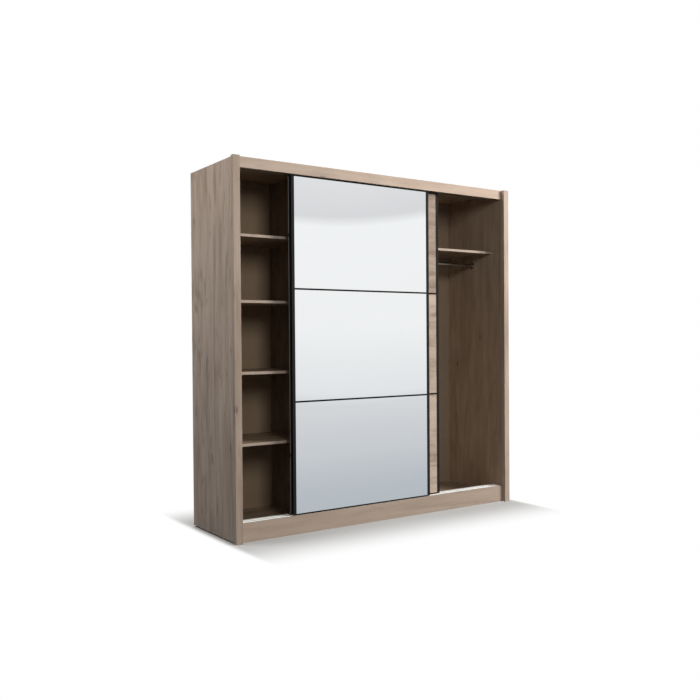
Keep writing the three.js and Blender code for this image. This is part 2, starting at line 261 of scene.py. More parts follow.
class ShaderSheet(NodeSheet):
    """A material's node tree, with one principled shader."""

    def __init__(self, name: str) -> None:
        """Makes the material.

        Args:
            name: Its name, from which come three steady offsets, so that no two boards match.
        """
        self.material = bpy.data.materials.new(name)
        self.material.use_nodes = True
        super().__init__(self.material.node_tree)
        self.output = self.node("OutputMaterial")
        self.shader = self.node("BsdfPrincipled")
        self.show(self.shader)
        value = zlib.crc32(name.encode())
        self.seed = (value % 97 * 0.37, value // 97 % 89 * 0.41, value // 8633 % 83 * 0.43)

    def show(self, shader: bpy.types.Node) -> None:
        """Puts a shader on the material's surface."""
        self.feed(self.output.inputs["Surface"], shader.outputs[0])

    def dress(self, colour: Value, rough: Value, level: float = 0.5,
              metallic: float = 0.0) -> None:
        """Gives the principled shader its colour and gloss.

        Args:
            colour: Base colour.
            rough: Roughness.
            level: Specular level.
            metallic: 1 for bare metal.
        """
        for key, value in (("Base Color", colour), ("Roughness", rough),
                           ("Specular IOR Level", level), ("Metallic", metallic)):
            self.feed(self.shader.inputs[key], value)

    def bump(self, height: Socket, strength: float, distance: float) -> None:
        """Raises the surface by a pattern, at most by the distance in metres."""
        bump = self.node("Bump", {"Height": height, "Strength": strength, "Distance": distance})
        self.feed(self.shader.inputs["Normal"], bump.outputs["Normal"])


@dataclass(frozen=True)
class Finish:
    """What a surface is made of; every kind of finish lays out its own nodes."""

    def make(self, name: str) -> Material:
        """Builds a material in this finish.

        Args:
            name: The material's name.

        Returns:
            The material.
        """
        sheet = ShaderSheet(name)
        self.lay(sheet)
        return sheet.material

    def lay(self, sheet: ShaderSheet) -> None:
        """Lays out the nodes on the sheet."""
        raise NotImplementedError


@dataclass(frozen=True)
class OakDecor(Finish):
    """Greyed oak printed on a melamine board, with streaks, cathedrals, pores and knots.

    Each streak layer has a frequency across and one along the grain, a stir and a weight.
    """

    grain: Grain = Grain.UPRIGHT
    shade: float = 1.0
    contrast: float = 1.0
    cloud: float = 0.30
    dark: Colour = (0.240, 0.176, 0.132)
    middle: Colour = (0.415, 0.322, 0.255)
    light: Colour = (0.530, 0.432, 0.355)
    arch_share: float = 0.05
    streaks: tuple[tuple[float, ...], ...] = ((11.0, 1.5, 0.7, 0.30), (34.0, 2.0, 0.5, 0.17),
                                              (180.0, 4.0, 0.1, 0.12))

    def toned(self, colour: Colour) -> Colour:
        """The colour in this board's shade, drawn towards the middle by the contrast."""
        mixed = (m + (c - m) * self.contrast for c, m in zip(colour, self.middle))
        return tuple(max(0.0, v * self.shade) for v in mixed)

    def lay(self, sheet: ShaderSheet) -> None:
        """Lays streaks, darker patches, pores and knots over each other.

        Args:
            sheet: The material being built.
        """
        dark, middle, light = map(self.toned, (self.dark, self.middle, self.light))
        share = self.arch_share
        tone = sheet.times(self.arches(sheet), share)
        for across, along, stir, weight in ((3.6, 0.9, 0.7, self.cloud), *self.streaks):
            layer = sheet.noise(self.grain.stretched(across, along), sheet.seed, 4.0, 0.58, stir)
            tone = sheet.math("ADD", tone, sheet.times(layer, weight))
            share += weight
        tone = sheet.span(tone, 0.36 * share, 0.64 * share)
        colour = sheet.ramp(tone, [(0.0, dark), (0.5, middle), (1.0, light)])
        patches = sheet.noise(self.grain.stretched(22.0, 4.6), sheet.seed[::-1], 3.0, 0.55, 0.8)
        worn = sheet.span(patches, 0.56, 0.70, 0.0, 0.75 * self.contrast)
        pores = sheet.noise(self.grain.stretched(900.0, 22.0), sheet.seed, 3.0, 0.6)
        pores = sheet.span(pores, 0.34, 0.46, 1.0, 0.0)
        open_pores = sheet.times(pores, 0.28 * self.contrast)
        colour = sheet.mix(open_pores, sheet.mix(worn, colour, dark), dark)
        colour = sheet.mix(self.knots(sheet), colour, tuple(c * 0.42 for c in dark))
        sheet.dress(colour, sheet.span(patches, 0.3, 0.7, 0.44, 0.60), 0.4)
        relief = sheet.math("SUBTRACT", sheet.times(tone, 0.4), pores)
        sheet.bump(relief, 0.35, 0.15 * MM)

    def arches(self, sheet: ShaderSheet) -> Socket:
        """Nested arches where the growth rings were cut at a slant, from 0 to 1."""
        warp = sheet.noise(self.grain.stretched(3.5, 0.32), sheet.seed, 2.0, 0.5, 0.5)
        return sheet.span(sheet.math("SINE", sheet.times(warp, 60.0)), -1.0, 1.0)

    def knots(self, sheet: ShaderSheet) -> Socket:
        """Small dark knots, some with a softer halo, drawn out along the grain.

        Args:
            sheet: The material being built.

        Returns:
            A factor from 0 to about 0.8.
        """
        axes = sheet.axes(sheet.seed)
        along = sheet.times(axes.pop(self.grain.value), 1.5)
        across = sheet.times(sheet.math("ADD", *axes), 4.6)
        flat = sheet.node("CombineXYZ", {"X": across, "Y": along}).outputs["Vector"]
        cells = sheet.node("TexVoronoi", {"Vector": flat, "Scale": 1.0},
                           voronoi_dimensions="2D").outputs
        chance = sheet.node("SeparateColor", {"Color": cells["Color"]}).outputs["Red"]
        core = sheet.span(cells["Distance"], 0.015, 0.055, 0.8, 0.0)
        halo = sheet.span(cells["Distance"], 0.03, 0.22, 0.22, 0.0)
        return sheet.times(sheet.math("MAXIMUM", core, halo),
                          sheet.span(chance, 0.45, 0.55))


@dataclass(frozen=True)
class BoardEdge(Finish):
    """The narrow edging of a board: the decor's mean colour, rubbed lighter in places."""

    colour: Colour = (0.365, 0.287, 0.230)
    rubbed: Colour = (0.452, 0.374, 0.309)

    def lay(self, sheet: ShaderSheet) -> None:
        """Lays rubbed places over the plain colour.

        Args:
            sheet: The material being built.
        """
        wear = sheet.noise((14.0, 14.0, 14.0), sheet.seed, 6.0, 0.7)
        colour = sheet.ramp(wear, [(0.42, self.colour), (0.68, self.rubbed)])
        sheet.dress(colour, sheet.span(wear, 0.3, 0.7, 0.40, 0.58))
        sheet.bump(wear, 0.2, 0.1 * MM)


@dataclass(frozen=True)
class Hardboard(Finish):
    """Thin hardboard with a dull brown print, nailed to the boards in front of it."""

    colour: Colour = (0.290, 0.208, 0.137)
    fleck: Colour = (0.38, 0.285, 0.195)
    zinc: Colour = (0.36, 0.355, 0.34)
    nail_radius: float = 3.4 * MM
    nail_pitch: float = 150 * MM
    seam_inset: float = 5 * MM

    def lay(self, sheet: ShaderSheet) -> None:
        """Lays pressed fibres, a faint cloud and nail heads.

        Args:
            sheet: The material being built.
        """
        fibres = sheet.noise((240.0, 240.0, 60.0), detail=8.0, rough=0.75)
        cloud = sheet.noise((3.0, 3.0, 3.0), detail=3.0)
        nails = self.nails(sheet)
        colour = sheet.mix(sheet.span(fibres, 0.35, 0.75), self.colour, self.fleck)
        colour = sheet.mix(sheet.span(cloud, 0.3, 0.7, 0.0, 0.35), colour,
                           tuple(c * 0.7 for c in self.colour))
        sheet.dress(sheet.mix(nails, colour, self.zinc),
                    sheet.span(fibres, 0.2, 0.8, 0.62, 0.85))
        sheet.bump(sheet.math("SUBTRACT", fibres, nails), 0.3, 0.2 * MM)

    def nails(self, sheet: ShaderSheet) -> Socket:
        """Nail heads on the rear face, in rows along the boards that the sheets lie on.

        Args:
            sheet: The material being built.

        Returns:
            A factor that is 1 on a nail head.
        """
        across, deep, up = sheet.axes()
        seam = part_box("left_back_sheet")[1]
        uprights = ("left_side_panel", "centre_partition", "right_side_panel")
        columns = [seam.x - self.seam_inset, seam.x + self.seam_inset,
                   *(self.middle(node).x for node in uprights)]
        levels = [self.middle(node).z for node in ("top_panel", "floor_panel")]
        rows = [self.row(sheet, across, line, up) for line in columns]
        rows += [self.row(sheet, up, line, across) for line in levels]
        rear = sheet.span(deep, seam.y - 1.5 * MM, seam.y - 1.0 * MM)
        return sheet.times(sheet.math("MAXIMUM", *rows), rear)

    def middle(self, node: str) -> Vector:
        """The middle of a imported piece."""
        return sum(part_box(node), Vector()) / 2

    def row(self, sheet: ShaderSheet, off: Socket, line: float, along: Socket) -> Socket:
        """One row of round heads at an even pitch.

        Args:
            sheet: The material being built.
            off: The coordinate that is the same for the whole row.
            line: Its value on the row.
            along: The coordinate that runs along the row.

        Returns:
            A factor that is 1 on a head.
        """
        off = sheet.math("SUBTRACT", off, line)
        step = sheet.math("MODULO", sheet.math("ADD", along, 20 * self.nail_pitch), self.nail_pitch)
        step = sheet.math("SUBTRACT", step, self.nail_pitch / 2)
        squares = (sheet.times(distance, distance) for distance in (off, step))
        return sheet.span(sheet.math("SQRT", sheet.math("ADD", *squares)),
                          0.8 * self.nail_radius, self.nail_radius, 1.0, 0.0)


@dataclass(frozen=True)
class SilveredGlass(Finish):
    """Mirror glass with the faintest waviness and wiping marks."""

    tint: Colour = (0.93, 0.945, 0.95)

    def lay(self, sheet: ShaderSheet) -> None:
        """Lays wiping marks over the silver.

        Args:
            sheet: The material being built.
        """
        wipes = sheet.noise((1.6, 1.6, 6.0), detail=6.0, rough=0.65, stir=0.6)
        colour = sheet.ramp(wipes, [(0.35, self.tint), (0.75, tuple(c * 0.985 for c in self.tint))])
        sheet.dress(colour, sheet.span(wipes, 0.4, 0.8, 0.012, 0.03), metallic=1.0)


@dataclass(frozen=True)
class DrawnMetal(Finish):
    """Extruded, rolled or plated metal with fine lines along its length."""

    colour: Colour
    grain: Grain = Grain.CROSSWISE
    metallic: float = 1.0
    rough: float = 0.35
    lines: float = 1400.0
    level: float = 0.5

    def lay(self, sheet: ShaderSheet) -> None:
        """Lays drawing lines and handled places over the metal.

        Args:
            sheet: The material being built.
        """
        drawn = sheet.noise(self.grain.stretched(self.lines, 9.0), rough=0.6)
        handled = sheet.noise((7.0, 7.0, 5.0), sheet.seed, 5.0, 0.6)
        lighter = tuple(min(1.0, c * 1.35 + 0.004) for c in self.colour)
        colour = sheet.mix(sheet.span(drawn, 0.3, 0.7, 0.0, 0.5), self.colour, lighter)
        colour = sheet.mix(sheet.span(handled, 0.45, 0.8, 0.0, 0.4), colour, lighter)
        rough = sheet.span(handled, 0.3, 0.75, self.rough - 0.06, self.rough + 0.10)
        sheet.dress(colour, rough, self.level, self.metallic)
        sheet.bump(drawn, 0.12, 0.05 * MM)


@dataclass(frozen=True)
class MouldedPlastic(Finish):
    """Injection-moulded plastic or rubber with a fine spark-eroded texture."""

    colour: Colour
    rough: float = 0.5

    def lay(self, sheet: ShaderSheet) -> None:
        """Lays the fine texture and a faint cloud.

        Args:
            sheet: The material being built.
        """
        texture = sheet.noise((1800.0, 1800.0, 1800.0), detail=3.0, rough=0.6)
        cloud = sheet.noise((30.0, 30.0, 30.0), sheet.seed, 3.0)
        duller = tuple(c * 0.82 + 0.004 for c in self.colour)
        sheet.dress(sheet.mix(sheet.span(cloud, 0.35, 0.7), self.colour, duller),
                    sheet.span(cloud, 0.3, 0.7, self.rough - 0.05, self.rough + 0.08))
        sheet.bump(texture, 0.25, 0.08 * MM)


@dataclass(frozen=True)
class Pile(Finish):
    """Short upright fibres of a draught strip, in rows along its length."""

    colour: Colour = (0.13, 0.125, 0.12)
    tips: Colour = (0.30, 0.29, 0.28)

    def lay(self, sheet: ShaderSheet) -> None:
        """Lays light tips and matted places over the fibres.

        Args:
            sheet: The material being built.
        """
        fibres = sheet.noise((600.0, 2600.0, 2600.0), detail=5.0, rough=0.75)
        matted = sheet.noise((40.0, 40.0, 16.0), sheet.seed, 3.0)
        colour = sheet.mix(sheet.span(fibres, 0.35, 0.65), self.colour, self.tips)
        colour = sheet.mix(sheet.span(matted, 0.4, 0.7, 0.0, 0.5), colour, self.colour)
        sheet.dress(colour, sheet.span(fibres, 0.2, 0.8, 0.75, 0.95), 0.2)
        sheet.bump(fibres, 0.8, 0.4 * MM)


@dataclass
class Palette:
    """Every finish of the wardrobe; each material is built once, when it is first asked for."""

    built: dict[str, Material] = field(default_factory=dict)
    edging: Finish = BoardEdge()
    hardboard: Finish = Hardboard()
    glass: Finish = SilveredGlass()
    glass_edge: Finish = MouldedPlastic((0.62, 0.72, 0.69), 0.2)
    # Painted sheen: the upright profiles take a lighter copy of the black finish than the crosswise
    # ones, standing for the grey sheen on their faces.
    black_metal: Finish = DrawnMetal((0.012, 0.0115, 0.011), Grain.UPRIGHT, 0.0, 0.48, level=0.16)
    black_crosswise: Finish = DrawnMetal((0.0045, 0.0045, 0.004), metallic=0.0, rough=0.5,
                                         level=0.09)
    track: Finish = DrawnMetal((0.90, 0.885, 0.84), metallic=0.15, rough=0.40)
    # Painted shade: the head track is the same aluminium as the floor track, given a dark bronze
    # colour that stands for the shade under the fascia.
    bronze: Finish = DrawnMetal((0.20, 0.165, 0.115), metallic=0.3, rough=0.5, level=0.3)
    # Painted reflection: the chrome of the rails and sockets is given a dark brown colour, standing
    # for the dark bays that it reflects.
    chrome: Finish = DrawnMetal((0.30, 0.265, 0.225), rough=0.28, lines=700.0)
    steel: Finish = DrawnMetal((0.56, 0.55, 0.53), Grain.UPRIGHT, rough=0.32, lines=900.0)
    wheel: Finish = MouldedPlastic((0.70, 0.69, 0.65), 0.42)
    nylon: Finish = MouldedPlastic((0.022, 0.022, 0.022), 0.48)
    rubber: Finish = MouldedPlastic((0.10, 0.095, 0.09), 0.7)
    pile: Finish = Pile()
    cap: Finish = MouldedPlastic((0.30, 0.24, 0.185), 0.5)

    def get(self, name: str, finish: Finish | None = None) -> Material:
        """A material, built when it is first asked for.

        Args:
            name: Its name.
            finish: Its finish, or None for the field of that name.

        Returns:
            The material.
        """
        if name not in self.built:
            self.built[name] = (finish or getattr(self, name)).make(name)
        return self.built[name]


# -------- bench


@dataclass(frozen=True)
class Turning:
    """A small round fitting: a disc whose outer end is inset in steps, its edges rounded.

    Each step is the width of an inset and how far it rises.
    """

    radius: float
    height: float
    steps: tuple[tuple[float, float], ...]
    edge: float
    segments: int = 2
    sides: int = 32


def screw_head(radius: float, height: float) -> Turning:
    """A domed screw head with a sunk socket."""
    steps = (radius * 0.30, height * 0.25), (radius * 0.25, 0.0), (radius * 0.04, -height * 0.55)
    return Turning(radius, height, steps, height * 0.12, 1, 20)


@dataclass
class Bench:
    """Where pieces are made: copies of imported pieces, small fittings, bevels and painting."""

    made: dict[str, Piece] = field(default_factory=dict)
    merge_below: float = 2e-6
    flat_below: float = math.radians(0.5)
    smooth_below: float = math.radians(35.0)
    flat_weight: int = 100
    square_on: float = 0.95
    facing: float = 0.9

    def pick(self, piece: Piece) -> None:
        """Selects one piece alone and makes it active."""
        bpy.ops.object.select_all(action="DESELECT")
        piece.select_set(True)
        bpy.context.view_layer.objects.active = piece

    def copy_of(self, node: str, name: str) -> Piece:
        """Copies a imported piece, with its vertices merged and its flat faces made whole.

        Args:
            node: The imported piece.
            name: The copy's name.

        Returns:
            The copy, at the origin.
        """
        copy = bpy.data.objects.new(name, frame["nodes"][node].data.copy())
        copy.data.materials.clear()
        bpy.context.scene.collection.objects.link(copy)
        self.pick(copy)
        bpy.ops.object.mode_set(mode="EDIT")
        bpy.ops.mesh.select_all(action="SELECT")
        bpy.ops.mesh.remove_doubles(threshold=self.merge_below)
        bpy.ops.mesh.dissolve_limited(angle_limit=self.flat_below)
        bpy.ops.object.mode_set(mode="OBJECT")
        return copy

    def round_edges(self, piece: Piece, width: float, segments: int = 2,
                    angle: float = 40.0) -> None:
        """Bevels a piece's sharp edges and smooths its shading.

        Args:
            piece: What is bevelled.
            width: Width of the bevel in metres.
            segments: Steps across it.
            angle: Edges sharper than this many degrees are bevelled.
        """
        bevel = piece.modifiers.new("edges", "BEVEL")
        bevel.width = width
        bevel.segments = segments
        bevel.limit_method = "ANGLE"
        bevel.angle_limit = math.radians(angle)
        self.pick(piece)
        bpy.ops.object.modifier_apply(modifier=bevel.name)
        bpy.ops.object.shade_smooth_by_angle(angle=self.smooth_below)
        weigh = piece.modifiers.new("flats", "WEIGHTED_NORMAL")
        weigh.weight = self.flat_weight
        weigh.keep_sharp = True
        bpy.ops.object.modifier_apply(modifier=weigh.name)

    def paint(self, piece: Piece, *materials: Material, thin: Vector | None = None,
              lined: Vector | None = None) -> None:
        """Puts materials into a piece's slots and the right one on each face.

        Args:
            piece: What is painted.
            materials: Its main material, then that of its edging and that of its lining.
            thin: The way it is thin; faces that don't look along it are edging.
            lined: The way that its lined faces look.
        """
        piece.data.materials.clear()
        for material in materials:
            piece.data.materials.append(material)
        for face in piece.data.polygons:
            if thin is not None and abs(face.normal.dot(thin)) <= self.square_on:
                face.material_index = 1
            if lined is not None and face.normal.dot(lined) > self.square_on:
                face.material_index = 2

    def hand_over(self, piece: Piece, node: str, *nodes: str) -> None:
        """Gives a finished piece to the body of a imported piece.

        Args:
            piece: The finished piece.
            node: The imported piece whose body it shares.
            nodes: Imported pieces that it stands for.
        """
        body = frame["nodes"][node]["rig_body"]
        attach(piece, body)
        if nodes:
            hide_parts(*nodes)
        self.made[piece.name] = piece
        log.info("%-38s %6d faces, on %s", piece.name, len(piece.data.polygons), body)

    def refine(self, node: str, name: str, edge: float, *materials: Material, segments: int = 2,
               angle: float = 40.0, thin: Vector | None = None,
               lined: Vector | None = None) -> None:
        """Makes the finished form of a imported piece, which stands for it.

        Args:
            node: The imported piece.
            name: The finished piece's name.
            edge: Width of its rounded edges.
            materials: As in paint.
            segments: As in round_edges.
            angle: As in round_edges.
            thin: As in paint.
            lined: As in paint.
        """
        piece = self.copy_of(node, name)
        self.round_edges(piece, edge, segments, angle)
        self.paint(piece, *materials, thin=thin, lined=lined)
        self.hand_over(piece, node, node)

    def select_faces(self, piece: Piece, way: Vector) -> None:
        """Selects the faces of a piece that look a given way, and leaves it in edit mode.

        Args:
            piece: The piece.
            way: The direction.
        """
        self.pick(piece)
        bpy.ops.object.mode_set(mode="EDIT")
        bpy.ops.mesh.select_mode(type="FACE")
        bpy.ops.mesh.select_all(action="DESELECT")
        bpy.ops.object.mode_set(mode="OBJECT")
        for face in piece.data.polygons:
            face.select = face.normal.dot(way) > self.facing
        bpy.ops.object.mode_set(mode="EDIT")

    def disc(self, radius: float, height: float, way: Vector, sides: int) -> Piece:
        """Adds a short cylinder about the origin.

        Args:
            radius: Its radius.
            height: Its height.
            way: Its axis, pointing at its outer end.
            sides: Facets around it.

        Returns:
            The cylinder.
        """
        bpy.ops.object.select_all(action="DESELECT")
        bpy.ops.mesh.primitive_cylinder_add(vertices=sides, radius=radius, depth=height)
        piece = bpy.context.object
        piece.rotation_mode = "QUATERNION"
        piece.rotation_quaternion = way.to_track_quat("Z", "Y")
        bpy.ops.object.transform_apply(location=True, rotation=True, scale=True)
        return piece

    def turn(self, shape: Turning, way: Vector) -> Piece:
        """Models a small round fitting about the origin.

        Args:
            shape: Its sizes.
            way: The direction of its outer end.

        Returns:
            The fitting.
        """
        piece = self.disc(shape.radius, shape.height, way, shape.sides)
        self.select_faces(piece, way)
        for width, rise in shape.steps:
            bpy.ops.mesh.inset(thickness=width, depth=rise)
        bpy.ops.object.mode_set(mode="OBJECT")
        self.round_edges(piece, shape.edge, shape.segments)
        return piece

    def join(self, pieces: list[Piece], name: str) -> Piece:
        """Joins several pieces into one.

        Args:
            pieces: The pieces.
            name: The joined piece's name.

        Returns:
            The joined piece.
        """
        self.pick(pieces[0])
        for piece in pieces[1:]:
            piece.select_set(True)
        if len(pieces) > 1:
            bpy.ops.object.join()
        pieces[0].name = name
        return pieces[0]

    def set_out(self, master: Piece, material: Material, name: str, places: list[Vector],
                node: str) -> None:
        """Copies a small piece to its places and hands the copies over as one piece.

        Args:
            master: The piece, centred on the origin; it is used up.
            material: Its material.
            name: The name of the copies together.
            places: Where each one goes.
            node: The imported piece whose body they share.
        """
        self.paint(master, material)
        twins = []
        for place in places:
            twin = bpy.data.objects.new(name, master.data.copy())
            bpy.context.scene.collection.objects.link(twin)
            twin.data.transform(Matrix.Translation(place))
            twins.append(twin)
        bpy.data.objects.remove(master)
        self.hand_over(self.join(twins, name), node)


@dataclass
class Joinery:
    """What every part of the wardrobe is built with, and the sizes that parts share."""

    bench: Bench
    palette: Palette
    bumper_inset: float = 4 * MM
    bumper_from_end: float = 350 * MM

    def bumper_levels(self, low: Vector, high: Vector) -> tuple[float, float]:
        """The two heights at which bumpers meet a door profile with these corners."""
        return low.z + self.bumper_from_end, high.z - self.bumper_from_end


# -------- carcass


@dataclass(frozen=True)
class Board:
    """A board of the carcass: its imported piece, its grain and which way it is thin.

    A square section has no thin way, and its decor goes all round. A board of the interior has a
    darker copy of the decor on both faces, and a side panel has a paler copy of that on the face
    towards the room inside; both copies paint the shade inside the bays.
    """

    node: str
    grain: Grain
    thin: Vector | None
    shade: float = 1.0
    contrast: float = 1.0
    inside: bool = False
    room_side: Vector | None = None


# Painted shade: the interior boards take a darker copy of the oak decor, standing for the shade
# inside the bays.
SHADED_INSIDE = OakDecor(dark=(0.165, 0.112, 0.074), middle=(0.290, 0.212, 0.150),
                  light=(0.390, 0.300, 0.225))


@dataclass
class Carcass(Joinery):
    """The fixed body: boards, back, rails and tracks with the fittings that belong to them."""

    board_edge: float = 0.9 * MM
    sheet_edge: float = 0.3 * MM
    track_edge: float = 0.25 * MM
    rail_edge: float = 0.3 * MM
    socket_edge: float = 0.4 * MM
    pin_radius: float = 2.5 * MM
    pin_reach: float = 7.5 * MM
    pin_sides: int = 20
    pin_edge: float = 0.3 * MM
    collar: float = 1.7
    pin_insets: tuple[float, float] = (40 * MM, 60 * MM)
    play: float = 0.1 * MM
    flange_thick: float = 2.5 * MM
    socket_screw: Turning = screw_head(3.2 * MM, 1.4 * MM)
    screw_circle: float = 19.8 * MM
    cap: Turning = Turning(9 * MM, 1.2 * MM, ((2.2 * MM, -0.4 * MM),), 0.3 * MM)
    cap_sunk: float = 0.5 * MM
    cap_from_end: float = 34 * MM
    cap_insets: tuple[float, float] = (130 * MM, 100 * MM)
    glide: Turning = Turning(13 * MM, 0.0, ((1.5 * MM, 0.0), (6 * MM, -1.2 * MM)), 1.2 * MM, 3)
    glide_inset: float = 45 * MM
    bumper: Turning = Turning(3.6 * MM, 2.6 * MM, ((0.9 * MM, 0.0),), 0.8 * MM, 4, 28)
    track_screw: Turning = screw_head(3.4 * MM, 0.8 * MM)
    track_plate: float = 2 * MM
    screw_pitch: float = 250 * MM
    # Painted shade: the faces of the sides and the top towards the bays take the darker interior
    # decor, made 1.3 times paler.
    lining: OakDecor = replace(SHADED_INSIDE, shade=1.3, contrast=0.7)
    boards: tuple[Board, ...] = (
        Board("left_side_panel", Grain.UPRIGHT, LEFT, room_side=RIGHT),
        Board("right_side_panel", Grain.UPRIGHT, LEFT, room_side=LEFT),
        Board("left_front_stile", Grain.UPRIGHT, None, 0.88, 0.7),
        Board("right_front_stile", Grain.UPRIGHT, None, 1.0, 0.7),
        Board("top_fascia", Grain.CROSSWISE, FRONT, 1.1, 0.45),
        Board("plinth", Grain.CROSSWISE, FRONT, 1.02, 0.45),
        Board("track_beam", Grain.CROSSWISE, UP),
        Board("rear_base_rail", Grain.CROSSWISE, FRONT),
        Board("top_panel", Grain.CROSSWISE, UP, contrast=0.6, room_side=DOWN),
        Board("floor_panel", Grain.CROSSWISE, UP, inside=True),
        # Painted shade: the column partition's decor is darkened further, to 0.62, standing for the
        # deep shade on its face beside the doors.
        Board("column_partition", Grain.UPRIGHT, LEFT, 0.62, inside=True),
        Board("centre_partition", Grain.UPRIGHT, LEFT, inside=True),
    ) + tuple(Board(node, Grain.CROSSWISE, UP, inside=True)
              for node in (*(f"column_shelf_{number}" for number in range(1, 5)),
                           "centre_hat_shelf", "right_hat_shelf"))

    def build(self) -> None:
        """Builds every piece of the carcass."""
        for board in self.boards:
            self.make_board(board)
        for node in ("left_back_sheet", "right_back_sheet"):
            self.bench.refine(node, f"{node}_hardboard", self.sheet_edge,
                              self.palette.get("hardboard"), segments=1)
        for node, finish in (("floor_track", "track"), ("head_track", "bronze")):
            self.bench.refine(node, f"{node}_extrusion", self.track_edge,
                              self.palette.get(finish), segments=1)
        for bay in ("centre", "right"):
            self.bench.refine(f"{bay}_rail", f"{bay}_rail_tube", self.rail_edge,
                              self.palette.get("chrome"), angle=50.0)
            for side in Side:
                self.make_socket(bay, side)
        self.add_shelf_pins()
        self.add_cam_caps()
        self.add_glides()
        self.add_bumpers()
        self.add_track_screws()

    def make_board(self, board: Board) -> None:
        """Rounds a board's edges and gives it its decor, edging and lining.

        Args:
            board: The board.
        """
        decor = replace(SHADED_INSIDE if board.inside else OakDecor(), grain=board.grain,
                        shade=board.shade, contrast=board.contrast)
        finishes = [self.palette.get(f"oak_{board.node}", decor), self.palette.get("edging")]
        if board.room_side is not None:
            lining = replace(self.lining, grain=board.grain)
            finishes.append(self.palette.get(f"lining_{board.node}", lining))
        self.bench.refine(board.node, f"{board.node}_board", self.board_edge, *finishes,
                          thin=board.thin, lined=board.room_side)

    def make_socket(self, bay: str, side: Side) -> None:
        """Makes one rail socket with three screws around its flange.

        Args:
            bay: The bay that the rail hangs in.
            side: The end of the rail.
        """
        node = f"{bay}_rail_socket_{side.word}"
        self.bench.refine(node, f"{node}_casting", self.socket_edge, self.palette.get("chrome"),
                          angle=50.0)
        low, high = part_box(node)
        flange = side.end(node) - side.value * self.flange_thick
        middle = Vector((flange - side.value * self.socket_screw.height / 2,
                         (low.y + high.y) / 2, (low.z + high.z) / 2))
        turns = [Matrix.Rotation(math.radians(angle), 3, "X") for angle in (0, 120, 240)]
        self.bench.set_out(self.bench.turn(self.socket_screw, side.inward),
                           self.palette.get("steel"), f"{node}_screws",
                           [middle + turn @ (UP * self.screw_circle) for turn in turns], node)

    def add_shelf_pins(self) -> None:
        """Puts four collared steel pins under each shelf."""
        for node in (board.node for board in self.boards if "shelf" in board.node):
            low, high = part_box(node)
            rows = low.y + self.pin_insets[0], high.y - self.pin_insets[1]
            z = low.z - self.pin_radius * self.collar - self.play
            for side in Side:
                pin = self.bench.disc(self.pin_radius, self.pin_reach, side.inward,
                                      self.pin_sides)
                self.bench.select_faces(pin, -side.inward)
                bpy.ops.mesh.extrude_region_move()
                bpy.ops.transform.resize(value=(1, self.collar, self.collar))
                bpy.ops.mesh.extrude_region_move(
                    TRANSFORM_OT_translate={"value": -side.inward * MM})
                bpy.ops.object.mode_set(mode="OBJECT")
                self.bench.round_edges(pin, self.pin_edge)
                x = side.end(node) - side.value * (self.pin_reach / 2 + MM)
                self.bench.set_out(pin, self.palette.get("steel"), f"{node}_pins_{side.word}",
                                   [Vector((x, y, z)) for y in rows], node)

    def add_cam_caps(self) -> None:
        """Closes the cam holes under the fixed hat shelves and the top with small caps."""
        for node in ("centre_hat_shelf", "right_hat_shelf", "top_panel"):
            low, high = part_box(node)
            ends = low.x, high.x
            if node == "top_panel":
                ends = Side.RIGHT.end("left_side_panel"), Side.LEFT.end("right_side_panel")
            columns = ends[0] + self.cap_from_end, ends[1] - self.cap_from_end
            rows = low.y + self.cap_insets[0], high.y - self.cap_insets[1]
            places = [Vector((x, y, low.z - self.cap_sunk)) for x in columns for y in rows]
            self.bench.set_out(self.bench.turn(self.cap, DOWN), self.palette.get("cap"),
                               f"{node}_cam_caps", places, node)

    def add_glides(self) -> None:
        """Puts three nail-on glides under each side."""
        for side in Side:
            node = f"{side.word}_side_panel"
            low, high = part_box(node)
            height = low.z - self.play
            rows = low.y + self.glide_inset, (low.y + high.y) / 2, high.y - self.glide_inset
            places = [Vector(((low.x + high.x) / 2, y, height / 2)) for y in rows]
            self.bench.set_out(self.bench.turn(replace(self.glide, height=height), DOWN),
                               self.palette.get("nylon"), f"{side.word}_side_glides", places,
                               node)

    def add_bumpers(self) -> None:
        """Sticks rubber bumpers on the sides where each door ends its travel."""
        for side in Side:
            panel = f"{side.word}_side_panel"
            x = Side(-side.value).end(panel) - side.value * self.bumper.height / 2
            places = []
            for door in ("mirror_door", "oak_door"):
                low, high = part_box(f"{door}_left_handle_profile")
                places += [Vector((x, high.y - self.bumper_inset, z))
                           for z in self.bumper_levels(low, high)]
            self.bench.set_out(self.bench.turn(self.bumper, side.inward),
                               self.palette.get("rubber"), f"{side.word}_door_bumpers", places,
                               panel)

    def add_track_screws(self) -> None:
        """Screws the floor track down between its two ribs."""
        low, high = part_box("floor_track")
        middle = sum(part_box(f"{door}_carrier_board")[i].y for door in ("mirror_door", "oak_door")
                     for i in (0, 1)) / 4
        count = int((high.x - low.x) // self.screw_pitch)
        start = (low.x + high.x - (count - 1) * self.screw_pitch) / 2
        level = low.z + self.track_plate + self.track_screw.height / 2
        places = [Vector((start + i * self.screw_pitch, middle, level)) for i in range(count)]
        self.bench.set_out(self.bench.turn(self.track_screw, UP), self.palette.get("steel"),
                           "floor_track_screws", places, "floor_track")


# -------- doors


class Infill(Enum):
    """What a door's panes are made of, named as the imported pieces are."""

    MIRROR = "mirror"
    OAK = "facing"


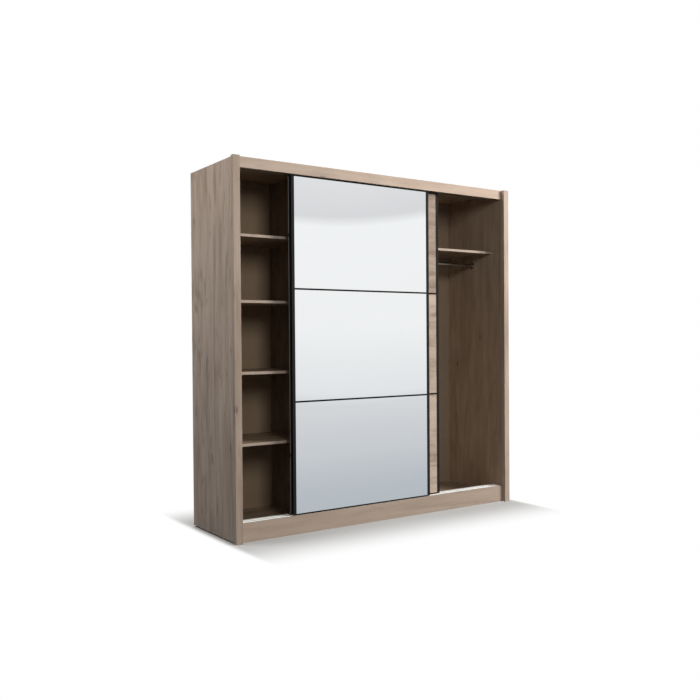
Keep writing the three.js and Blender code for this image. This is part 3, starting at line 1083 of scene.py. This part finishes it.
@dataclass
class SlidingDoor(Joinery):
    """A door: carrier board, three panes, black profiles, rollers and head guides."""

    name: str = "mirror_door"
    infill: Infill = Infill.MIRROR
    panes: int = 3
    core_edge: float = 0.5 * MM
    pane_edge: float = 0.8 * MM
    profile_edge: float = 0.35 * MM
    gear: tuple[tuple[str, str, float], ...] = (("roller_housing", "nylon", 0.5 * MM),
                                                ("head_guide", "nylon", 0.4 * MM),
                                                ("wheel", "wheel", 0.2 * MM))
    pile_height: float = 2.4 * MM
    pile_off: float = 0.05 * MM
    pile_gap: float = 16 * MM
    pile_from_end: float = 4 * MM
    pile_depths: tuple[float, float] = (7 * MM, 1 * MM)
    pile_taper: float = 0.6
    pile_edge: float = 0.5 * MM
    facing: OakDecor = OakDecor(Grain.CROSSWISE, contrast=1.1, cloud=0.55)
    # Painted light and shade: the three oak facings, from the bottom up, are one decor made lighter
    # at the foot and darker at the head.
    facing_shades: tuple[float, ...] = (1.12, 1.04, 0.86)
    core: OakDecor = OakDecor(Grain.UPRIGHT, 0.8)

    def build(self) -> None:
        """Builds every piece of the door."""
        core = self.palette.get(self.node("core_decor"), self.core)
        self.bench.refine(self.node("carrier_board"), self.node("core"), self.core_edge, core,
                          self.palette.get("edging"), segments=1, thin=FRONT)
        for number in range(1, self.panes + 1):
            self.make_pane(number)
        self.make_profiles()
        for side in Side:
            for part, key, edge in self.gear:
                node = self.node(f"{side.word}_{part}")
                self.bench.refine(node, f"{node}_moulding", edge, self.palette.get(key),
                                  angle=50.0)
            self.add_pile(side)

    def node(self, part: str) -> str:
        """The full name of one of this door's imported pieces."""
        return f"{self.name}_{part}"

    def make_pane(self, number: int) -> None:
        """Makes one pane: silvered glass with ground edges, or an oak facing.

        Args:
            number: Its place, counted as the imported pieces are.
        """
        node = self.node(f"{self.infill.value}_{number}")
        face, edge = self.palette.get("glass"), self.palette.get("glass_edge")
        if self.infill is Infill.OAK:
            decor = replace(self.facing, shade=self.facing_shades[number - 1])
            face, edge = self.palette.get(f"oak_{node}", decor), self.palette.get("edging")
        self.bench.refine(node, f"{node}_pane", self.pane_edge, face, edge, thin=FRONT)

    def make_profiles(self) -> None:
        """Breaks the edges of the black extrusions around and across the door."""
        parts = [(f"{side.word}_handle_profile", "black_metal") for side in Side]
        across = ["head_profile", "foot_profile"]
        across += [f"dividing_strip_{number}" for number in range(1, self.panes)]
        for part, key in parts + [(part, "black_crosswise") for part in across]:
            self.bench.refine(self.node(part), self.node(f"{part}_extrusion"), self.profile_edge,
                              self.palette.get(key))

    def add_pile(self, side: Side) -> None:
        """Sticks a pile strip on the turned edge of an upright profile, open at the bumpers.

        Args:
            side: The door's end.
        """
        profile = self.node(f"{side.word}_handle_profile")
        low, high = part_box(profile)
        near, far = sorted(side.end(profile) + side.value * off
                           for off in (self.pile_off, self.pile_height))
        ends = [low.z + self.pile_from_end,
                *(z + way * self.pile_gap / 2 for z in self.bumper_levels(low, high)
                  for way in (-1, 1)),
                high.z - self.pile_from_end]
        runs = []
        for foot, head in zip(ends[::2], ends[1::2]):
            corners = (Vector((near, high.y - self.pile_depths[0], foot)),
                       Vector((far, high.y - self.pile_depths[1], head)))
            bpy.ops.object.select_all(action="DESELECT")
            bpy.ops.mesh.primitive_cube_add(size=1.0, location=(corners[0] + corners[1]) / 2,
                                            scale=corners[1] - corners[0])
            run = bpy.context.object
            bpy.ops.object.transform_apply(location=True, rotation=True, scale=True)
            self.bench.select_faces(run, -side.inward)
            bpy.ops.transform.resize(value=(1, self.pile_taper, 1))
            bpy.ops.object.mode_set(mode="OBJECT")
            self.bench.round_edges(run, self.pile_edge)
            runs.append(run)
        strip = self.bench.join(runs, self.node(f"{side.word}_pile_strip"))
        self.bench.paint(strip, self.palette.get("pile"))
        self.bench.hand_over(strip, profile)


# -------- studio


@dataclass(frozen=True)
class SoftBox:
    """An area lamp: where it hangs, what it points at, its size, its watts and its colour."""

    name: str
    place: Triple
    target: Triple
    size: tuple[float, float]
    watts: float
    colour: Colour

    def hang(self) -> None:
        """Adds the lamp; neither the camera nor gloss sees it."""
        light = bpy.data.lights.new(self.name, "AREA")
        light.shape = "RECTANGLE"
        light.size, light.size_y = self.size
        light.energy, light.color = self.watts, self.colour
        lamp = bpy.data.objects.new(self.name, light)
        bpy.context.scene.collection.objects.link(lamp)
        lamp.location = self.place
        lamp.rotation_mode = "QUATERNION"
        way = Vector(self.target) - Vector(self.place)
        lamp.rotation_quaternion = way.to_track_quat("-Z", "Y")
        lamp.visible_glossy = lamp.visible_camera = False


@dataclass
class Studio:
    """Pale floor, soft lamps, the glowing wall painted with what the mirrors reflect, and the
    camera.

    The key light hangs at the front right, the others are weaker. The floor's shadow fades
    out between the two distances of shadow_fade, and sooner at the sides than in front.
    """

    eye: Triple = (-3.0571, -4.3565, 1.1328)
    yaw: float = math.radians(34.295)
    pitch: float = math.radians(-0.775)
    roll: float = math.radians(-0.411)
    lens: float = 42.083
    air: Colour = (1.0, 0.965, 0.92)
    air_strength: float = 0.075
    floor_half: float = 9.0
    floor_drop: float = 0.2 * MM
    floor_colour: Colour = (0.55, 0.552, 0.55)
    bounce: Colour = (0.14, 0.135, 0.13)
    shadow_fade: tuple[float, float] = (0.02, 0.54)
    side_fade: float = 9.0
    wall_height: float = 10.0
    # Painted reflection: wall_dip, wall_sag and deepest_sag bend the lower edge of the grey band
    # painted on the glowing wall.
    wall_dip: float = 4.65
    wall_sag: float = 0.09
    deepest_sag: float = 0.3
    lamps: tuple[SoftBox, ...] = (
        SoftBox("key", (3.2, -3.5, 3.4), (0.5, 0, 1.1), (2.2, 2.2), 308.0, (1.0, 0.99, 0.975)),
        SoftBox("front", (-1.8, -5.6, 3.0), (-0.3, 0, 1.2), (1.2, 1.6), 98.0, (1.0, 0.99, 0.975)),
        SoftBox("side", (-2.9, 0.6, 4.0), (-1.0, 0, 2.1), (1.5, 1.5), 72.0, (1.0, 0.98, 0.955)),
        SoftBox("back", (0.2, 2.3, 4.0), (0.0, -0.3, 0.0), (2.6, 2.0), 110.0, (1.0, 0.99, 0.98)),
    )

    def build(self) -> None:
        """Sets up everything around the wardrobe."""
        bpy.context.scene.view_settings.view_transform = "Standard"
        self.set_world()
        self.lay_floor()
        self.hang_wall()
        for lamp in self.lamps:
            lamp.hang()
        self.place_camera()

    def set_world(self) -> None:
        """A white surround for eye, gloss and glass, and a softer one as light."""
        world = bpy.data.worlds.new("studio_air")
        bpy.context.scene.world = world
        world.use_nodes = True
        sheet = NodeSheet(world.node_tree)
        light = sheet.node("Background", {"Color": self.air, "Strength": self.air_strength})
        seen = sheet.node("Background", {"Color": (1.0, 1.0, 1.0), "Strength": 1.0})
        rays = sheet.node("LightPath").outputs
        either = sheet.math("MAXIMUM", rays["Is Camera Ray"], rays["Is Glossy Ray"],
                            rays["Is Transmission Ray"])
        sheet.node("OutputWorld", {"Surface": sheet.blend(either, light, seen).outputs[0]})

    def staged(self, name: str) -> tuple[Piece, ShaderSheet]:
        """Names the new primitive, marks it as part of the stage and gives it a material.

        Args:
            name: The name of both.

        Returns:
            The piece and its material's nodes.
        """
        piece, sheet = bpy.context.object, ShaderSheet(name)
        piece.name = name
        piece.data.materials.append(sheet.material)
        return piece, sheet

    def lay_floor(self) -> None:
        """Lays a pale floor that keeps the wardrobe's shadow and fades to white beyond it, and
        glows for gloss in a painted blue-grey reflection.
        """
        bpy.ops.object.select_all(action="DESELECT")
        bpy.ops.mesh.primitive_plane_add(size=2 * self.floor_half,
                                         location=(0, 0, -self.floor_drop))
        _, sheet = self.staged("studio_floor")
        sheet.dress(self.floor_colour, 0.9, 0.1)
        x, y, _ = sheet.axes()
        ahead = sheet.span(sheet.times(y, -1.0), 0.3, 9.0)
        # Painted reflection: to gloss the floor glows in a blue-grey ramp, darker near the
        # wardrobe's front, which the lower mirror panes show.
        mirrored = sheet.ramp(ahead, [(0.0, (0.47, 0.505, 0.54)), (0.10, (0.50, 0.535, 0.57)),
                                      (0.30, (0.61, 0.63, 0.655)), (0.75, (0.70, 0.71, 0.73))])
        outside = [sheet.math("SUBTRACT", sheet.math("ABSOLUTE", axis), half)
                   for axis, half in zip((x, y), CAD_BOX[1])]
        aside, before = (sheet.math("MAXIMUM", distance, 0.0) for distance in outside)
        aside = sheet.times(aside, self.side_fade)
        squares = (sheet.times(distance, distance) for distance in (aside, before))
        reach = sheet.math("SQRT", sheet.math("ADD", *squares))
        near = sheet.span(reach, *self.shadow_fade, 1.0, 0.0)
        ease = sheet.math("SUBTRACT", 3.0, sheet.times(near, 2.0))
        near = sheet.times(ease, sheet.times(near, near))
        white = sheet.node("Emission", {"Color": (1.0, 1.0, 1.0)})
        bounce = sheet.node("BsdfDiffuse", {"Color": self.bounce})
        gloss = sheet.node("Emission", {"Color": mirrored})
        rays = sheet.node("LightPath").outputs
        seen = sheet.blend(rays["Is Camera Ray"], bounce, sheet.blend(near, white, sheet.shader))
        sheet.show(sheet.blend(rays["Is Glossy Ray"], seen, gloss))

    def hang_wall(self) -> None:
        """Hangs the round studio wall that only gloss can see, glowing in painted bands that the
        mirrors reflect.
        """
        bpy.ops.object.select_all(action="DESELECT")
        bpy.ops.mesh.primitive_cylinder_add(vertices=96, radius=self.floor_half,
                                            depth=self.wall_height, end_fill_type="NOTHING",
                                            location=(0, 0, self.wall_height / 2))
        wall, sheet = self.staged("studio_wall")
        bpy.ops.object.transform_apply(location=True, rotation=True, scale=True)
        wall.visible_camera = wall.visible_diffuse = wall.visible_shadow = False
        wall.visible_transmission = wall.visible_volume_scatter = False
        x, _, z = sheet.axes()
        aside = sheet.math("SUBTRACT", x, self.wall_dip)
        sag = sheet.times(sheet.times(aside, aside), self.wall_sag)
        sag = sheet.math("MINIMUM", sag, self.deepest_sag)
        height = sheet.span(sheet.math("SUBTRACT", z, sag), 0.0, self.wall_height / 2)
        # Painted reflection: glowing grey and white bands, which the mirror panes show.
        colour = sheet.ramp(height, [(0.0, (0.71, 0.72, 0.74)), (0.04, (0.81, 0.825, 0.84)),
                                     (0.26, (0.925, 0.928, 0.928)), (0.606, (0.94, 0.943, 0.943)),
                                     (0.640, (0.725, 0.728, 0.742)), (0.80, (0.80, 0.802, 0.815))])
        sheet.show(sheet.node("Emission", {"Color": colour}))

    def place_camera(self) -> None:
        """Sets the camera low at the front left, looking across the wardrobe."""
        forward = Vector((math.sin(self.yaw) * math.cos(self.pitch),
                          math.cos(self.yaw) * math.cos(self.pitch), math.sin(self.pitch)))
        level = Vector((math.cos(self.yaw), -math.sin(self.yaw), 0))
        above = level.cross(forward)
        across = math.cos(self.roll) * level + math.sin(self.roll) * above
        over = math.cos(self.roll) * above - math.sin(self.roll) * level
        data = bpy.data.cameras.new("camera")
        data.lens = self.lens
        data.sensor_width = 36.0
        data.clip_end = 60.0
        camera = bpy.data.objects.new("camera", data)
        bpy.context.scene.collection.objects.link(camera)
        turn = Matrix((across, over, -forward)).transposed().to_4x4()
        camera.matrix_world = Matrix.Translation(self.eye) @ turn
        bpy.context.scene.camera = camera


def main() -> None:
    """Builds the wardrobe and its studio."""
    logging.basicConfig(level=logging.INFO, format="%(message)s")
    bench, palette = Bench(), Palette()
    Studio().build()
    Carcass(bench, palette).build()
    SlidingDoor(bench, palette, name="mirror_door", infill=Infill.MIRROR).build()
    SlidingDoor(bench, palette, name="oak_door", infill=Infill.OAK).build()
    log.info("%d pieces made", len(bench.made))


if __name__ == "__main__":
    main()
